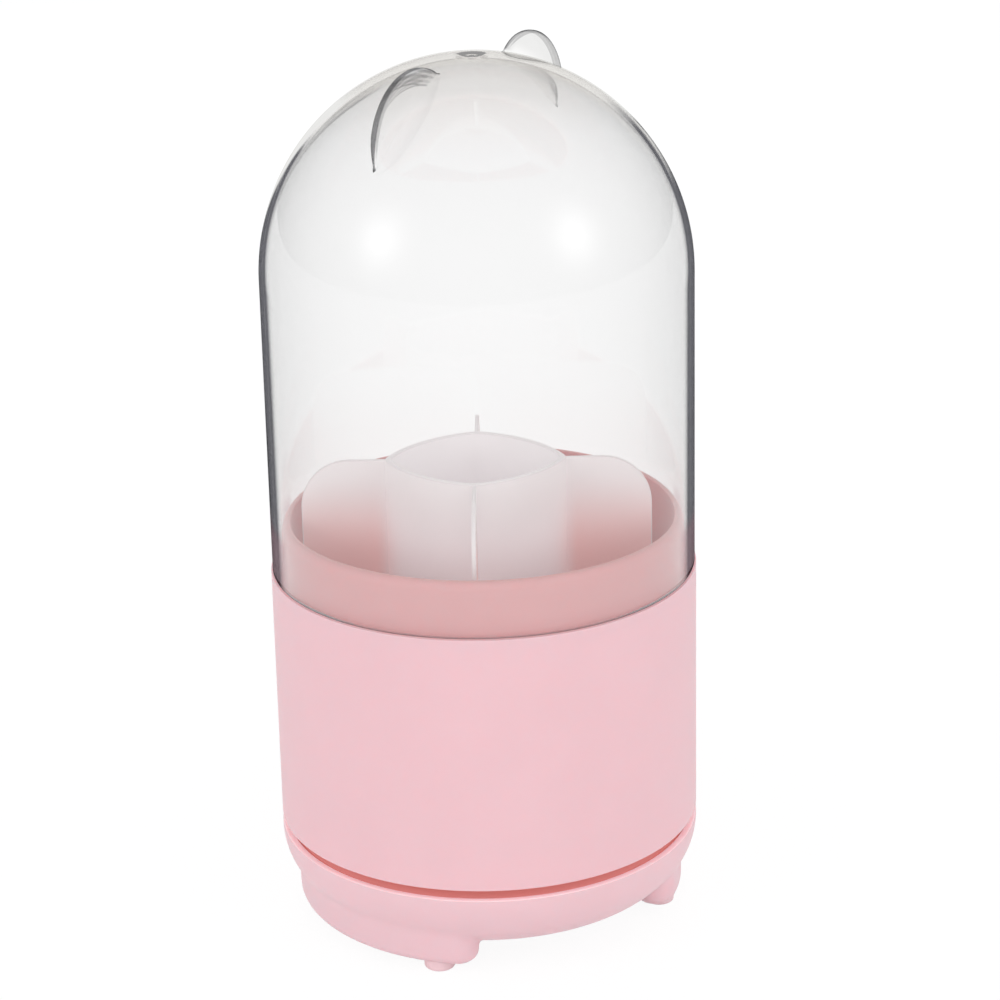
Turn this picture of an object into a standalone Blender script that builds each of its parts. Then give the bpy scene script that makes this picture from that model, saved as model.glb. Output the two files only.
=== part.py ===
"""Rotating brush organiser: a clear domed lid over a pink bucket that turns on a footed base.

Metres, +Z up. The origin is on the ground, on the turning axis. The view that the sizes
were taken from looks along +Y, so headings are counted from +X towards +Y.
"""
import math

import bmesh
import bpy
from mathutils import Matrix, Vector

PRODUCT = "brush_organiser"

# Clearances that every piece shares
TOUCH_GAP = 0.0003
CUT_OVERRUN = 0.002
MERGE_DISTANCE = 0.00001
HEAD_ROOM = 0.001

# Facets of the turned pieces
SHELL_STEPS = 48
INNER_STEPS = 36
SMALL_STEPS = 12
SMOOTH_ANGLE = math.radians(32)
FLAT_ANGLE = math.radians(0.2)

# Outer cup shell
BODY_RADIUS = 0.0575
SHELL_HEIGHT = 0.0715
SHELL_WALL = 0.0024
SHELL_FLOOR = 0.002
SHELL_EDGE_ROUND = 0.0005
SHELL_LIP = 0.0011

# Inner bucket, whose collar stands up inside the lid
BUCKET_CLEARANCE = 0.0008
BUCKET_WALL = 0.0026
BUCKET_FLOOR = 0.002
BUCKET_CORNER = 0.004
FLANGE_THICKNESS = 0.0018
COLLAR_RISE = 0.0144
COLLAR_CLEARANCE = 0.0008
COLLAR_ROUND = 0.0021

# Clear lid
LID_INSET = 0.0004
LID_WALL = 0.002
LID_STRAIGHT = 0.0804
DOME_RISE = 0.0577
DOME_POINTS = 10
LID_EDGE_ROUND = 0.0003
GATE_RADIUS = 0.0033
GATE_DEPTH = 0.0004
EAR_HEADING = math.radians(235.5)
EAR_TILT = math.radians(32.5)
EAR_RADIUS = 0.0184
EAR_RISE = 0.0094
EAR_THICKNESS = 0.0026
EAR_ROUND = 0.0009
EAR_POINTS = 40

# Brush divider: a four-sided chamber with bowed walls, and a fin at each of its corners
DIVIDER_RISE = 0.0149
DIVIDER_WALL = 0.0015
CHAMBER_HALF_WIDTH = 0.0239
CHAMBER_HALF_DEPTH = 0.0214
CHAMBER_BOW = 0.004
WALL_POINTS = 8
FIN_CLEARANCE = 0.0044
FIN_THICKNESS = 0.0016
FIN_DROP = 0.0009
FIN_SHOULDER = 0.0133
FIN_POINTS = 9
# The loose divider stands this far to the left of the axis
DIVIDER_SHIFT = 0.0016

# Base bowl
GROOVE_HEIGHT = 0.0028
BOWL_RISE = 0.0184
BOWL_CORNER = 0.018
BOWL_WALL = 0.0022
BOWL_POINTS = 8
LIP_ROUND = 0.001

# Skids under the bowl, and the pads that they carry
SKID_HEADINGS = (math.radians(210), math.radians(30))
SKID_HALF_SPAN = math.radians(48.6)
SKID_INSET = 0.0042
SKID_WIDTH = 0.0113
SKID_DEPTH = 0.0037
SKID_ROUND = 0.0026
SKID_ARC_POINTS = 13
SKID_END_POINTS = 7
PAD_HALF_SPAN = math.radians(42.5)
PAD_RADIUS = 0.00415
PAD_PROUD = 0.0027
PAD_SEAT = 0.0008
PAD_ROUND = 0.0007

# Ball bearing between the base and the cup
BALL_COUNT = 8
BALL_RADIUS = 0.003175
BALL_CIRCLE_INSET = 0.0191
BALL_MERIDIANS = 8
BALL_RINGS = 6
RACE_DEPTH = 0.0008
RACE_POINTS = 4
CAGE_MARGIN = 0.0011
CAGE_THICKNESS = 0.0022

# Deck that closes the bowl, and the turntable plate that closes the cup
DECK_DROP = 0.0005
DECK_CLEARANCE = 0.0006
DECK_THICKNESS = 0.0022
DECK_HUB_RADIUS = 0.008
DECK_HUB_DEPTH = 0.006
POST_SETBACK = 0.008
POST_RADIUS = 0.0042
POST_COUNT = 4
POST_HEADING = math.radians(30)
BOSS_RISE = 0.0028
PLATE_MARGIN = 0.01
PLATE_THICKNESS = 0.0024
PLATE_HUB_RADIUS = 0.007
PLATE_HUB_RISE = 0.0025

# Axle and fasteners
AXLE_RADIUS = 0.0035
AXLE_FLANGE_RADIUS = 0.0062
AXLE_FLANGE = 0.002
WASHER_RADIUS = 0.0072
WASHER_THICKNESS = 0.0012
SCREW_RADIUS = 0.0014
SCREW_HEAD_RADIUS = 0.0028
SCREW_HEAD = 0.0017
SCREW_BITE = 0.006
SCREW_TIP_ROOM = 0.0007
CUP_SCREW_COUNT = 3
CUP_BOSS_RADIUS = 0.0038
CUP_SCREW_BITE = 0.0035

# Heights of the base, from the ground up
SKID_BOTTOM_Z = PAD_PROUD
BOWL_BOTTOM_Z = SKID_BOTTOM_Z + SKID_DEPTH
BOWL_FLOOR_Z = BOWL_BOTTOM_Z + BOWL_WALL
BOSS_TOP_Z = BOWL_FLOOR_Z + BOSS_RISE
LIP_Z = BOWL_BOTTOM_Z + BOWL_RISE
DECK_TOP_Z = LIP_Z - DECK_DROP
DECK_BOTTOM_Z = DECK_TOP_Z - DECK_THICKNESS
HUB_BOTTOM_Z = DECK_BOTTOM_Z - DECK_HUB_DEPTH
RACE_RADIUS = BALL_RADIUS + TOUCH_GAP
BALL_Z = DECK_TOP_Z - RACE_DEPTH + RACE_RADIUS

# Heights of the cup and what it carries
PLATE_BOTTOM_Z = BALL_Z + RACE_RADIUS - RACE_DEPTH
PLATE_TOP_Z = PLATE_BOTTOM_Z + PLATE_THICKNESS
PLATE_HUB_TOP_Z = PLATE_TOP_Z + PLATE_HUB_RISE
SHELL_FLOOR_Z = PLATE_TOP_Z + TOUCH_GAP
SHELL_FLOOR_TOP_Z = SHELL_FLOOR_Z + SHELL_FLOOR
CUP_BOSS_TOP_Z = SHELL_FLOOR_TOP_Z + CUP_SCREW_BITE + SCREW_TIP_ROOM + TOUCH_GAP
WASHER_Z = PLATE_HUB_TOP_Z + TOUCH_GAP
WASHER_TOP_Z = WASHER_Z + WASHER_THICKNESS
RETAINER_TOP_Z = WASHER_TOP_Z + TOUCH_GAP + SCREW_HEAD
BUCKET_BOTTOM_Z = max(RETAINER_TOP_Z, CUP_BOSS_TOP_Z) + HEAD_ROOM
BUCKET_FLOOR_Z = BUCKET_BOTTOM_Z + BUCKET_FLOOR
SHELL_BOTTOM_Z = LIP_Z + GROOVE_HEIGHT
SHELL_TOP_Z = SHELL_BOTTOM_Z + SHELL_HEIGHT
LEDGE_Z = SHELL_TOP_Z - FLANGE_THICKNESS - TOUCH_GAP
COLLAR_TOP_Z = SHELL_TOP_Z + COLLAR_RISE
LID_BOTTOM_Z = SHELL_TOP_Z + TOUCH_GAP
DOME_Z = LID_BOTTOM_Z + LID_STRAIGHT
DIVIDER_BOTTOM_Z = BUCKET_FLOOR_Z + TOUCH_GAP
RIM_Z = COLLAR_TOP_Z + DIVIDER_RISE

# Radii that follow from the neighbours
SHELL_BORE = BODY_RADIUS - SHELL_WALL
FLANGE_SEAT_RADIUS = BODY_RADIUS - SHELL_LIP
FLANGE_RADIUS = FLANGE_SEAT_RADIUS - TOUCH_GAP
LID_RADIUS = BODY_RADIUS - LID_INSET
LID_BORE = LID_RADIUS - LID_WALL
COLLAR_RADIUS = LID_BORE - COLLAR_CLEARANCE
BUCKET_RADIUS = SHELL_BORE - BUCKET_CLEARANCE
BUCKET_BORE = min(COLLAR_RADIUS, BUCKET_RADIUS) - BUCKET_WALL
FIN_REACH = BUCKET_BORE - FIN_CLEARANCE
BOWL_BORE = BODY_RADIUS - BOWL_WALL
DECK_RADIUS = BOWL_BORE - DECK_CLEARANCE
BALL_CIRCLE = SHELL_BORE - BALL_CIRCLE_INSET
CAGE_BORE = BALL_CIRCLE - RACE_RADIUS - CAGE_MARGIN
POST_CIRCLE = BALL_CIRCLE - POST_SETBACK
PLATE_RADIUS = BALL_CIRCLE + PLATE_MARGIN
SHELL_OPENING = WASHER_RADIUS + HEAD_ROOM
CUP_SCREW_CIRCLE = (SHELL_OPENING + CAGE_BORE) / 2
AXLE_BORE = AXLE_RADIUS + TOUCH_GAP
SCREW_BORE = SCREW_RADIUS + TOUCH_GAP
SKID_RADIUS = BODY_RADIUS - SKID_INSET
SKID_MIDDLE = SKID_RADIUS - SKID_WIDTH / 2
RACE_HALF_ANGLE = math.acos((RACE_RADIUS - RACE_DEPTH) / RACE_RADIUS)

# Screw seats: the head of a deck screw is let in flush with the bowl's underside
DECK_SCREW_SEAT_Z = BOWL_BOTTOM_Z + SCREW_HEAD + TOUCH_GAP
DECK_SCREW_TIP_Z = BOSS_TOP_Z + TOUCH_GAP + SCREW_BITE
CUP_SCREW_SEAT_Z = PLATE_BOTTOM_Z - TOUCH_GAP
CUP_SCREW_TIP_Z = SHELL_FLOOR_TOP_Z + CUP_SCREW_BITE
RETAINER_SEAT_Z = WASHER_TOP_Z + TOUCH_GAP
RETAINER_TIP_Z = PLATE_HUB_TOP_Z - SCREW_BITE


def clear_scene():
    """Remove every object, so that the file holds this model alone."""
    for item in list(bpy.data.objects):
        bpy.data.objects.remove(item, do_unlink=True)


def new_collection(name):
    """Make a collection and link it to the scene."""
    group = bpy.data.collections.new(name)
    bpy.context.scene.collection.children.link(group)
    return group


def new_material(name, colour, roughness, metallic=0.0, alpha=1.0):
    """A Principled material with one plain finish."""
    material = bpy.data.materials.new(name)
    material.use_nodes = True
    material.diffuse_color = (*colour, alpha)
    shader = material.node_tree.nodes["Principled BSDF"]
    shader.inputs["Base Color"].default_value = (*colour, 1.0)
    shader.inputs["Roughness"].default_value = roughness
    shader.inputs["Metallic"].default_value = metallic
    shader.inputs["Alpha"].default_value = alpha
    return material


def arc(radius, height, across, up, start, end, count):
    """Points of an elliptic arc about (radius, height), both ends included."""
    points = []
    for index in range(count + 1):
        angle = start + (end - start) * index / count
        points.append((radius + across * math.cos(angle), height + up * math.sin(angle)))
    return points


def heading_point(heading, distance, height=0.0):
    """The point at this distance from the axis, in the direction of a heading."""
    return Vector((distance * math.cos(heading), distance * math.sin(heading), height))


def around(count, first=0.0):
    """Evenly spaced headings round the axis."""
    return [first + math.tau * index / count for index in range(count)]


def turned(name, profile, steps):
    """A turned solid. The profile runs down its outer side; a ring's profile is a loop."""
    is_ring = profile[0][0] > 0.0
    edges = [(index, index + 1) for index in range(len(profile) - 1)]
    if is_ring:
        edges.append((len(profile) - 1, 0))
    mesh = bpy.data.meshes.new(name)
    mesh.from_pydata([(radius, 0.0, height) for radius, height in profile], edges, [])
    item = bpy.data.objects.new(name, mesh)
    screw = item.modifiers.new("Turn", 'SCREW')
    screw.steps = steps
    screw.render_steps = steps
    screw.use_smooth_shade = True
    screw.use_merge_vertices = True
    screw.merge_threshold = MERGE_DISTANCE
    return item


def mesh_from_curve(curve_object):
    """Replace a curve object by a welded mesh object of the same name and place."""
    name = curve_object.name
    bpy.context.scene.collection.objects.link(curve_object)
    bpy.context.view_layer.update()
    evaluated = curve_object.evaluated_get(bpy.context.evaluated_depsgraph_get())
    mesh = bpy.data.meshes.new_from_object(evaluated)
    place = curve_object.matrix_world.copy()
    bpy.data.objects.remove(curve_object, do_unlink=True)
    work = bmesh.new()
    work.from_mesh(mesh)
    bmesh.ops.remove_doubles(work, verts=work.verts, dist=MERGE_DISTANCE)
    bmesh.ops.dissolve_limit(work, angle_limit=FLAT_ANGLE, verts=work.verts, edges=work.edges)
    bmesh.ops.recalc_face_normals(work, faces=work.faces)
    work.to_mesh(mesh)
    work.free()
    item = bpy.data.objects.new(name, mesh)
    item.matrix_world = place
    return item


def outline_object(name, points, half_depth, filled=True):
    """A flat closed outline extruded to both sides of its plane, as a mesh object."""
    curve = bpy.data.curves.new(name, 'CURVE')
    curve.dimensions = '2D'
    curve.fill_mode = 'BOTH' if filled else 'NONE'
    curve.extrude = half_depth
    spline = curve.splines.new('POLY')
    spline.points.add(len(points) - 1)
    for target, (across, along) in zip(spline.points, points):
        target.co = (across, along, 0.0, 1.0)
    spline.use_cyclic_u = True
    return mesh_from_curve(bpy.data.objects.new(name, curve))


def combine(item, tool, operation, cutters):
    """Add a Boolean modifier to an object, with its tool kept among the cutters."""
    if tool.name not in cutters.objects:
        cutters.objects.link(tool)
    tool.hide_render = True
    tool.display_type = 'WIRE'
    boolean = item.modifiers.new(tool.name, 'BOOLEAN')
    boolean.operation = operation
    boolean.solver = 'EXACT'
    boolean.object = tool


def stepped_cutter(name, place, steps_up):
    """A round cutter at a place, from (radius, lowest height) pairs and a last height."""
    levels, top = steps_up
    profile = [(0.0, top), (levels[-1][0], top)]
    for index in range(len(levels) - 1, 0, -1):
        radius, height = levels[index]
        profile.append((radius, height))
        profile.append((levels[index - 1][0], height))
    profile.append(levels[0])
    profile.append((0.0, levels[0][1]))
    cutter = turned(name, profile, SMALL_STEPS)
    cutter.location = place
    cutter.rotation_euler.z = math.pi / SMALL_STEPS
    return cutter


def disc_object(name, radius, depth, segments):
    """A plain cylinder about its own centre, with undivided ends."""
    mesh = bpy.data.meshes.new(name)
    work = bmesh.new()
    bmesh.ops.create_cone(work, cap_ends=True, segments=segments, radius1=radius, radius2=radius, depth=depth)
    work.to_mesh(mesh)
    work.free()
    return bpy.data.objects.new(name, mesh)


def upright_cylinder(name, place, radius, bottom, top):
    """A round post, boss or bore between two heights."""
    post = disc_object(name, radius, top - bottom, SMALL_STEPS)
    post.location = Vector(place) + Vector((0.0, 0.0, (bottom + top) / 2))
    return post


def race(upward):
    """The bearing groove's arc about a ball, from its inner to its outer side."""
    middle = math.pi / 2 if upward else -math.pi / 2
    turn = RACE_HALF_ANGLE if upward else -RACE_HALF_ANGLE
    return arc(BALL_CIRCLE, BALL_Z, RACE_RADIUS, RACE_RADIUS, middle + turn, middle - turn, RACE_POINTS)


def bowl_profile(inset, corner_height, bottom):
    """The bowl's rounded side at a distance inside its outer face, down to a bottom."""
    across = BOWL_CORNER - inset
    up = corner_height - bottom
    middle = BODY_RADIUS - BOWL_CORNER
    return arc(middle, corner_height, across, up, 0.0, -math.pi / 2, BOWL_POINTS) + [(0.0, bottom)]


def skid_outline(heading):
    """A skid from above: an arc-shaped band with round ends."""
    inner = SKID_RADIUS - SKID_WIDTH
    half_width = SKID_WIDTH / 2
    first = heading - SKID_HALF_SPAN
    last = heading + SKID_HALF_SPAN
    points = arc(0.0, 0.0, SKID_RADIUS, SKID_RADIUS, first, last, SKID_ARC_POINTS)
    end = heading_point(last, SKID_MIDDLE)
    points += arc(end.x, end.y, half_width, half_width, last, last + math.pi, SKID_END_POINTS)[1:-1]
    points += arc(0.0, 0.0, inner, inner, last, first, SKID_ARC_POINTS)
    end = heading_point(first, SKID_MIDDLE)
    turn = first + math.pi
    points += arc(end.x, end.y, half_width, half_width, turn, turn + math.pi, SKID_END_POINTS)[1:-1]
    return points


def make_skid(index, heading):
    """A skid block that reaches up into the bowl, with its lower edge rounded."""
    half_height = (DECK_BOTTOM_Z - SKID_BOTTOM_Z) / 2
    skid = outline_object(f"skid_block_{index}", skid_outline(heading), half_height)
    skid.location = (0.0, 0.0, SKID_BOTTOM_Z + half_height)
    bevel = skid.modifiers.new("Rounded edge", 'BEVEL')
    bevel.width = SKID_ROUND
    bevel.segments = 2
    bevel.limit_method = 'ANGLE'
    bevel.angle_limit = math.radians(60)
    bevel.use_clamp_overlap = False
    return skid


def pad_headings():
    """Headings of the pads, two under each skid."""
    return [skid + side * PAD_HALF_SPAN for skid in SKID_HEADINGS for side in (-1, 1)]


def post_places():
    """Where the deck's posts, the bowl's bosses and their screws stand."""
    return [heading_point(heading, POST_CIRCLE) for heading in around(POST_COUNT, POST_HEADING)]


def cup_screw_places():
    """Where the screws hold the turntable plate to the cup shell."""
    return [heading_point(heading, CUP_SCREW_CIRCLE) for heading in around(CUP_SCREW_COUNT)]


def make_base_bowl(cutters):
    """The bowl-shaped lower casing, moulded in one with its two skids."""
    corner_height = LIP_Z - LIP_ROUND
    profile = [(0.0, LIP_Z)]
    profile += arc(BODY_RADIUS - LIP_ROUND, corner_height, LIP_ROUND, LIP_ROUND, math.pi / 2, 0.0, 2)[:-1]
    profile += bowl_profile(0.0, corner_height, BOWL_BOTTOM_Z)
    bowl = turned("base_bowl", profile, SHELL_STEPS)
    for index, heading in enumerate(SKID_HEADINGS, 1):
        combine(bowl, make_skid(index, heading), 'UNION', cutters)
    hollow = [(0.0, LIP_Z + CUT_OVERRUN), (BOWL_BORE, LIP_Z + CUT_OVERRUN)]
    hollow += bowl_profile(BOWL_WALL, corner_height, BOWL_FLOOR_Z)
    combine(bowl, turned("bowl_hollow", hollow, SHELL_STEPS), 'DIFFERENCE', cutters)
    root = (BOWL_BOTTOM_Z + BOWL_FLOOR_Z) / 2
    for index, place in enumerate(post_places(), 1):
        boss = upright_cylinder(f"bowl_boss_{index}", place, POST_RADIUS, root, BOSS_TOP_Z)
        combine(bowl, boss, 'UNION', cutters)
    for index, place in enumerate(post_places(), 1):
        counterbore = (SCREW_HEAD_RADIUS + TOUCH_GAP, BOWL_BOTTOM_Z - CUT_OVERRUN)
        levels = ([counterbore, (SCREW_BORE, DECK_SCREW_SEAT_Z)], BOSS_TOP_Z + CUT_OVERRUN)
        combine(bowl, stepped_cutter(f"bowl_hole_{index}", place, levels), 'DIFFERENCE', cutters)
    for index, heading in enumerate(pad_headings(), 1):
        seat = upright_cylinder(f"pad_seat_{index}", heading_point(heading, SKID_MIDDLE),
                                PAD_RADIUS + TOUCH_GAP, 0.0, SKID_BOTTOM_Z + PAD_SEAT)
        combine(bowl, seat, 'DIFFERENCE', cutters)
    return bowl


def make_foot_pad(index, heading):
    """A round pad let into the underside of a skid."""
    top = SKID_BOTTOM_Z + PAD_SEAT - TOUCH_GAP
    edge = PAD_RADIUS - PAD_ROUND
    profile = [(0.0, top), (PAD_RADIUS, top), (PAD_RADIUS, PAD_ROUND), (edge, 0.0), (0.0, 0.0)]
    pad = turned(f"foot_pad_{index}", profile, SMALL_STEPS)
    pad.location = heading_point(heading, SKID_MIDDLE)
    return pad


def make_base_deck(cutters):
    """The disc that closes the bowl: lower ball race, axle hub and four screw posts."""
    profile = [(DECK_RADIUS, DECK_TOP_Z), (DECK_RADIUS, DECK_BOTTOM_Z)]
    profile += [(DECK_HUB_RADIUS, DECK_BOTTOM_Z), (DECK_HUB_RADIUS, HUB_BOTTOM_Z)]
    profile += [(AXLE_BORE, HUB_BOTTOM_Z), (AXLE_BORE, DECK_TOP_Z)]
    profile += race(upward=False)
    deck = turned("base_deck", profile, SHELL_STEPS)
    for index, place in enumerate(post_places(), 1):
        foot = BOSS_TOP_Z + TOUCH_GAP
        root = (DECK_BOTTOM_Z + DECK_TOP_Z - RACE_DEPTH) / 2
        post = upright_cylinder(f"deck_post_{index}", place, POST_RADIUS, foot, root)
        combine(deck, post, 'UNION', cutters)
        pilot = upright_cylinder(f"deck_pilot_{index}", place, SCREW_BORE,
                                 foot - CUT_OVERRUN, DECK_SCREW_TIP_Z + SCREW_TIP_ROOM)
        combine(deck, pilot, 'DIFFERENCE', cutters)
    return deck


def make_screw(name, place, seat, tip, head_side):
    """A pan-head screw from its seat to its tip; the head lies on one side of the seat."""
    crown = seat + head_side * SCREW_HEAD
    edge = SCREW_HEAD_RADIUS - (SCREW_HEAD_RADIUS - SCREW_RADIUS) / 3
    shoulder = seat + head_side * SCREW_HEAD / 2
    profile = [(0.0, crown), (edge, crown), (SCREW_HEAD_RADIUS, shoulder), (SCREW_HEAD_RADIUS, seat)]
    profile += [(SCREW_RADIUS, seat), (SCREW_RADIUS, tip + head_side * SCREW_RADIUS), (0.0, tip)]
    if head_side < 0:
        profile.reverse()
    screw = turned(name, profile, SMALL_STEPS)
    screw.location = place
    return screw


def make_axle(cutters):
    """The pin in the deck's hub, with a flange below and a threaded end above."""
    flange_top = HUB_BOTTOM_Z - TOUCH_GAP
    flange_bottom = flange_top - AXLE_FLANGE
    profile = [(0.0, PLATE_HUB_TOP_Z), (AXLE_RADIUS, PLATE_HUB_TOP_Z), (AXLE_RADIUS, flange_top)]
    profile += [(AXLE_FLANGE_RADIUS, flange_top), (AXLE_FLANGE_RADIUS, flange_bottom), (0.0, flange_bottom)]
    axle = turned("axle", profile, SMALL_STEPS)
    pilot = upright_cylinder("axle_thread", (0.0, 0.0, 0.0), SCREW_BORE,
                             RETAINER_TIP_Z - SCREW_TIP_ROOM, PLATE_HUB_TOP_Z + CUT_OVERRUN)
    combine(axle, pilot, 'DIFFERENCE', cutters)
    return axle


def make_washer():
    """The washer over the plate's hub."""
    profile = [(WASHER_RADIUS, WASHER_TOP_Z), (WASHER_RADIUS, WASHER_Z)]
    profile += [(SCREW_BORE, WASHER_Z), (SCREW_BORE, WASHER_TOP_Z)]
    return turned("retaining_washer", profile, SMALL_STEPS)


def make_ball_cage(cutters):
    """The ring that keeps the balls apart."""
    outer = BALL_CIRCLE + RACE_RADIUS + CAGE_MARGIN
    top = BALL_Z + CAGE_THICKNESS / 2
    bottom = top - CAGE_THICKNESS
    cage = turned("ball_cage", [(outer, top), (outer, bottom), (CAGE_BORE, bottom), (CAGE_BORE, top)], INNER_STEPS)
    for index, heading in enumerate(around(BALL_COUNT), 1):
        pocket = upright_cylinder(f"cage_pocket_{index}", heading_point(heading, BALL_CIRCLE),
                                  RACE_RADIUS, bottom - CUT_OVERRUN, top + CUT_OVERRUN)
        combine(cage, pocket, 'DIFFERENCE', cutters)
    return cage


def make_ball(index, heading):
    """A steel bearing ball, which the cage carries round."""
    mesh = bpy.data.meshes.new(f"bearing_ball_{index}")
    work = bmesh.new()
    bmesh.ops.create_uvsphere(work, u_segments=BALL_MERIDIANS, v_segments=BALL_RINGS, radius=BALL_RADIUS)
    work.to_mesh(mesh)
    work.free()
    ball = bpy.data.objects.new(mesh.name, mesh)
    ball.location = heading_point(heading, BALL_CIRCLE, BALL_Z)
    return ball


def make_turntable_plate(cutters):
    """The disc under the cup: upper ball race, hub on the axle and three screw holes."""
    profile = [(PLATE_RADIUS, PLATE_TOP_Z), (PLATE_RADIUS, PLATE_BOTTOM_Z)]
    profile += list(reversed(race(upward=True)))
    profile += [(AXLE_BORE, PLATE_BOTTOM_Z), (AXLE_BORE, PLATE_HUB_TOP_Z)]
    profile += [(PLATE_HUB_RADIUS, PLATE_HUB_TOP_Z), (PLATE_HUB_RADIUS, PLATE_TOP_Z)]
    plate = turned("turntable_plate", profile, INNER_STEPS)
    for index, place in enumerate(cup_screw_places(), 1):
        hole = upright_cylinder(f"plate_hole_{index}", place, SCREW_BORE,
                                PLATE_BOTTOM_Z - CUT_OVERRUN, PLATE_TOP_Z + CUT_OVERRUN)
        combine(plate, hole, 'DIFFERENCE', cutters)
    return plate


def make_cup_shell(cutters):
    """The outer wall of the cup, with its floor, screw bosses and the flange's ledge."""
    edge = BODY_RADIUS - SHELL_EDGE_ROUND
    profile = [(edge, SHELL_TOP_Z), (BODY_RADIUS, SHELL_TOP_Z - SHELL_EDGE_ROUND)]
    profile += [(BODY_RADIUS, SHELL_BOTTOM_Z + SHELL_EDGE_ROUND), (edge, SHELL_BOTTOM_Z)]
    profile += [(SHELL_BORE, SHELL_BOTTOM_Z), (SHELL_BORE, SHELL_FLOOR_Z)]
    profile += [(SHELL_OPENING, SHELL_FLOOR_Z), (SHELL_OPENING, SHELL_FLOOR_TOP_Z)]
    profile += [(SHELL_BORE, SHELL_FLOOR_TOP_Z), (SHELL_BORE, LEDGE_Z)]
    profile += [(FLANGE_SEAT_RADIUS, LEDGE_Z), (FLANGE_SEAT_RADIUS, SHELL_TOP_Z)]
    shell = turned("cup_shell", profile, SHELL_STEPS)
    for index, place in enumerate(cup_screw_places(), 1):
        root = (SHELL_FLOOR_Z + SHELL_FLOOR_TOP_Z) / 2
        boss = upright_cylinder(f"cup_boss_{index}", place, CUP_BOSS_RADIUS, root, CUP_BOSS_TOP_Z)
        combine(shell, boss, 'UNION', cutters)
        pilot = upright_cylinder(f"cup_pilot_{index}", place, SCREW_BORE,
                                 SHELL_FLOOR_Z - CUT_OVERRUN, CUP_SCREW_TIP_Z + SCREW_TIP_ROOM / 2)
        combine(shell, pilot, 'DIFFERENCE', cutters)
    return shell


def make_cup_bucket():
    """The bucket inside the shell, with its collar above the flange that carries it."""
    corner = BUCKET_CORNER
    inside = corner - BUCKET_FLOOR
    profile = [(0.0, BUCKET_FLOOR_Z)]
    profile += arc(BUCKET_BORE - inside, BUCKET_FLOOR_Z + inside, inside, inside, -math.pi / 2, 0.0, 3)
    profile += [(BUCKET_BORE, COLLAR_TOP_Z)]
    profile += arc(COLLAR_RADIUS - COLLAR_ROUND, COLLAR_TOP_Z - COLLAR_ROUND,
                   COLLAR_ROUND, COLLAR_ROUND, math.pi / 2, 0.0, 4)
    profile += [(COLLAR_RADIUS, SHELL_TOP_Z), (FLANGE_RADIUS, SHELL_TOP_Z)]
    profile += [(FLANGE_RADIUS, LEDGE_Z + TOUCH_GAP), (BUCKET_RADIUS, LEDGE_Z + TOUCH_GAP)]
    profile += arc(BUCKET_RADIUS - corner, BUCKET_BOTTOM_Z + corner, corner, corner, 0.0, -math.pi / 2, 3)
    profile += [(0.0, BUCKET_BOTTOM_Z)]
    return turned("cup_bucket", profile, SHELL_STEPS)


def chamber_outline():
    """The divider's chamber from above: four walls bowed out between its corners."""
    corners = [Vector((CHAMBER_HALF_WIDTH, 0.0)), Vector((0.0, CHAMBER_HALF_DEPTH)),
               Vector((-CHAMBER_HALF_WIDTH, 0.0)), Vector((0.0, -CHAMBER_HALF_DEPTH))]
    half_chord = (corners[1] - corners[0]).length / 2
    radius = (half_chord ** 2 + CHAMBER_BOW ** 2) / (2 * CHAMBER_BOW)
    half_angle = math.asin(half_chord / radius)
    points = []
    for start, end in zip(corners, corners[1:] + corners[:1]):
        middle = (start + end) / 2
        outward = middle.normalized()
        across = (end - start).normalized()
        facing = Vector((across.y, -across.x))
        if facing.dot(outward) < 0:
            facing.negate()
        centre = middle + facing * (CHAMBER_BOW - radius)
        heading = math.atan2(facing.y, facing.x)
        wall = arc(centre.x, centre.y, radius, radius, heading - half_angle, heading + half_angle, WALL_POINTS)
        points += wall[:-1]
    return points


def fin_outline(start):
    """A fin from the side: it falls in a round shoulder to an upright outer edge."""
    height = RIM_Z - FIN_DROP - DIVIDER_BOTTOM_Z
    points = [(start, 0.0), (FIN_REACH, 0.0)]
    points += arc(FIN_REACH - FIN_SHOULDER, height - FIN_SHOULDER, FIN_SHOULDER, FIN_SHOULDER,
                  0.0, math.pi / 2, FIN_POINTS)
    points += [(start, height)]
    return points


def make_divider(cutters):
    """The loose insert that parts the bucket into a middle chamber and four pockets."""
    height = RIM_Z - DIVIDER_BOTTOM_Z
    divider = outline_object("brush_divider", chamber_outline(), height / 2, filled=False)
    divider.location = (-DIVIDER_SHIFT, 0.0, DIVIDER_BOTTOM_Z + height / 2)
    wall = divider.modifiers.new("Wall", 'SOLIDIFY')
    wall.thickness = DIVIDER_WALL
    wall.offset = -1.0
    wall.use_even_offset = True
    reaches = (CHAMBER_HALF_WIDTH, CHAMBER_HALF_DEPTH, CHAMBER_HALF_WIDTH, CHAMBER_HALF_DEPTH)
    for index, (heading, reach) in enumerate(zip(around(len(reaches)), reaches), 1):
        fin = outline_object(f"divider_fin_{index}", fin_outline(reach - DIVIDER_WALL / 2), FIN_THICKNESS / 2)
        stand = Matrix.Rotation(math.pi / 2, 4, 'X')
        turn = Matrix.Rotation(heading, 4, 'Z')
        place = Matrix.Translation((-DIVIDER_SHIFT, 0.0, DIVIDER_BOTTOM_Z))
        fin.matrix_world = place @ turn @ stand
        combine(divider, fin, 'UNION', cutters)
    return divider


def dome_profile(inset, first_radius=0.0):
    """The lid's dome and straight side at a distance inside its outer face."""
    across = LID_RADIUS - inset
    up = DOME_RISE - inset
    start = math.acos(first_radius / across)
    return arc(0.0, DOME_Z, across, up, start, 0.0, DOME_POINTS)


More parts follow.
